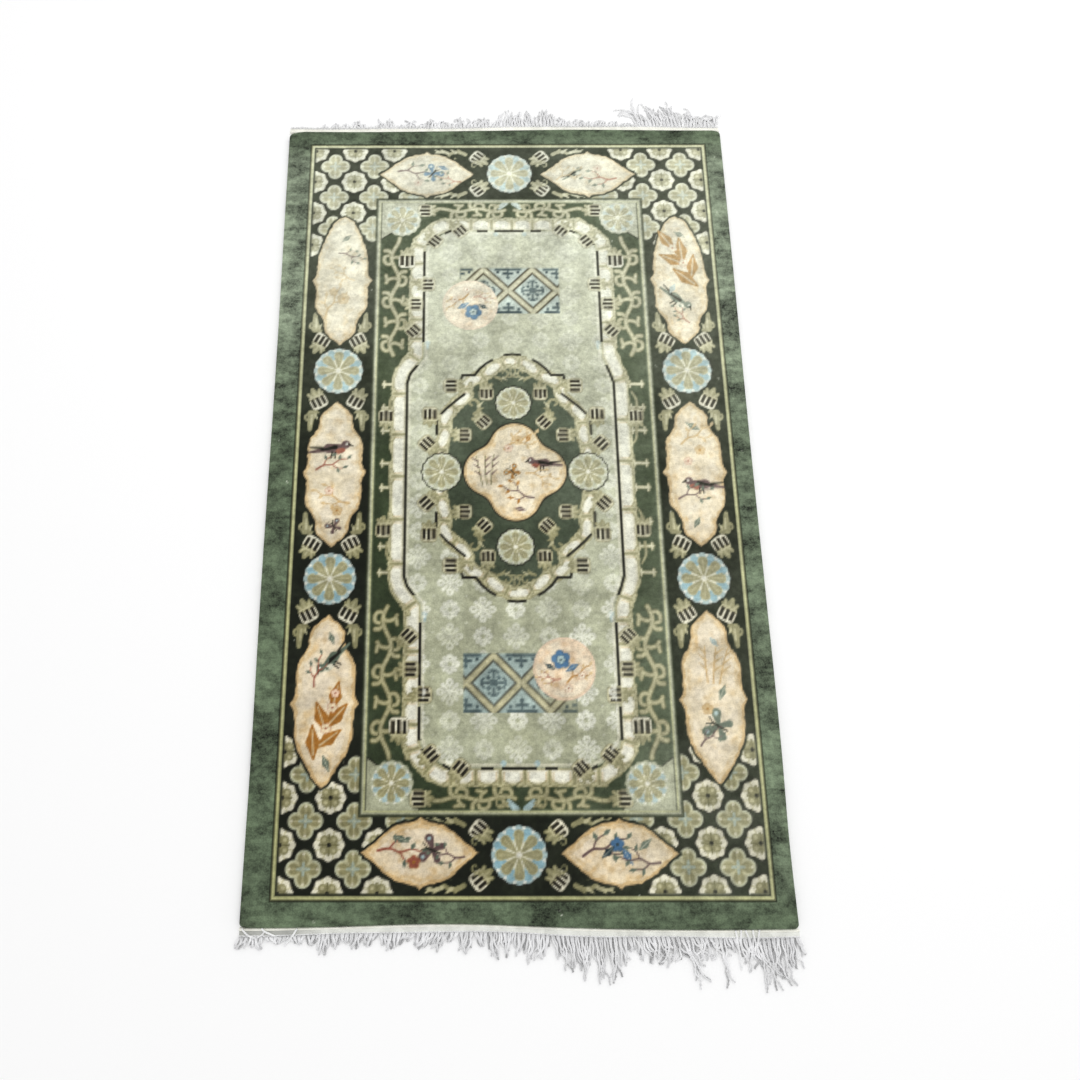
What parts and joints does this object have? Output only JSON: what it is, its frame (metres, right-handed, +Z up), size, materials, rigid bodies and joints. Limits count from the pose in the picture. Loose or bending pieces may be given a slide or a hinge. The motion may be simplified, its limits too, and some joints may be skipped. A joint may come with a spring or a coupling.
{
  "type": "hand-knotted chinese silk rug",
  "caption": "Flat oblong silk rug with a short dense pile, a flat-woven strip at each end and a loose uneven warp fringe lying on the floor.",
  "frame": {"origin": "on the floor, under the middle of the rug and its fringes", "axes": "+Z up out of the pile, +Y along the rug's length towards the far end, +X across the rug to the right seen from the near end"},
  "size_m": [0.934, 1.7463, 0.01],
  "materials": {
    "silk_pile": "short dense silk pile with a soft sheen, deep green ground with sage, cream, khaki and pale blue motifs",
    "warp_yarn": "matt off-white cotton warp, flat woven then loose"
  },
  "bodies": {
    "root": {"pile_body": "silk_pile", "near_fringed_end": "warp_yarn", "far_fringed_end": "warp_yarn"}
  },
  "joints": []
}
